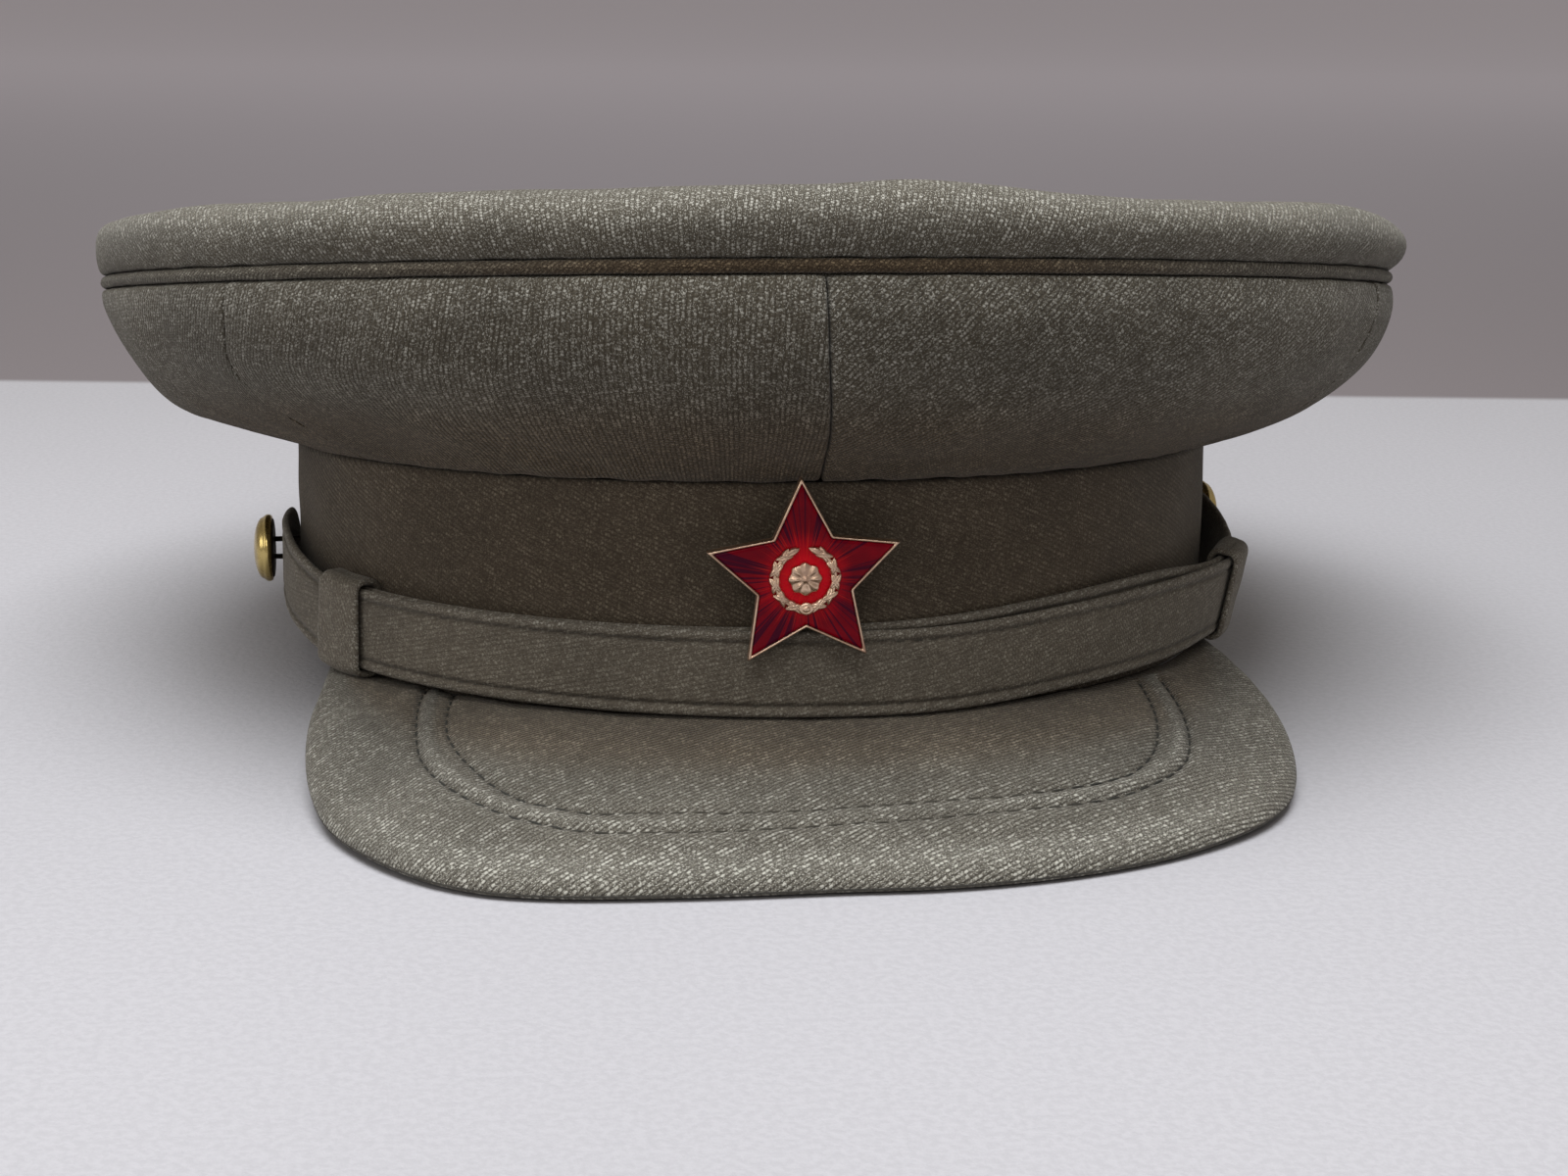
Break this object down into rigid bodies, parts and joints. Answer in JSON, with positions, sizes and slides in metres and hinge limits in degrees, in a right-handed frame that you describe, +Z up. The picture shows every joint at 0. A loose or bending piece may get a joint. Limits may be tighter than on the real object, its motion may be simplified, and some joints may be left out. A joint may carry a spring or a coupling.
{
  "type": "forage cap",
  "caption": "Khaki cloth peaked cap with a wide round welted crown, an upright band, a cloth covered visor, a chin strap with runners, domed side buttons and an enamelled star.",
  "frame": {"origin": "middle of the cap's bounding box, at the height of the surface it rests on", "axes": "+Z up, -Y towards the visor, +X to the right of someone looking at the front"},
  "size_m": [0.2692, 0.2884, 0.1102],
  "materials": {
    "cloth": "heathered wool twill, matt",
    "button_brass": "polished, slightly worn",
    "gilt": "rose gilt, polished",
    "steel": "plain",
    "enamel": "translucent hot enamel, glossy"
  },
  "bodies": {
    "root": {"band": "cloth", "crown_quarter_front_right": "cloth", "crown_quarter_back_right": "cloth", "crown_quarter_back_left": "cloth", "crown_quarter_front_left": "cloth", "crown_welt": "cloth", "crown_top": "cloth", "visor": "cloth", "chin_strap_outer": "cloth", "chin_strap_inner": "cloth", "strap_runner_left": "cloth", "strap_runner_right": "cloth", "button_left": "button_brass", "button_pin_left": "steel", "button_right": "button_brass", "button_pin_right": "steel", "badge_star": "gilt", "badge_enamel": "enamel", "badge_wreath": "gilt", "badge_post": "steel"}
  },
  "joints": []
}
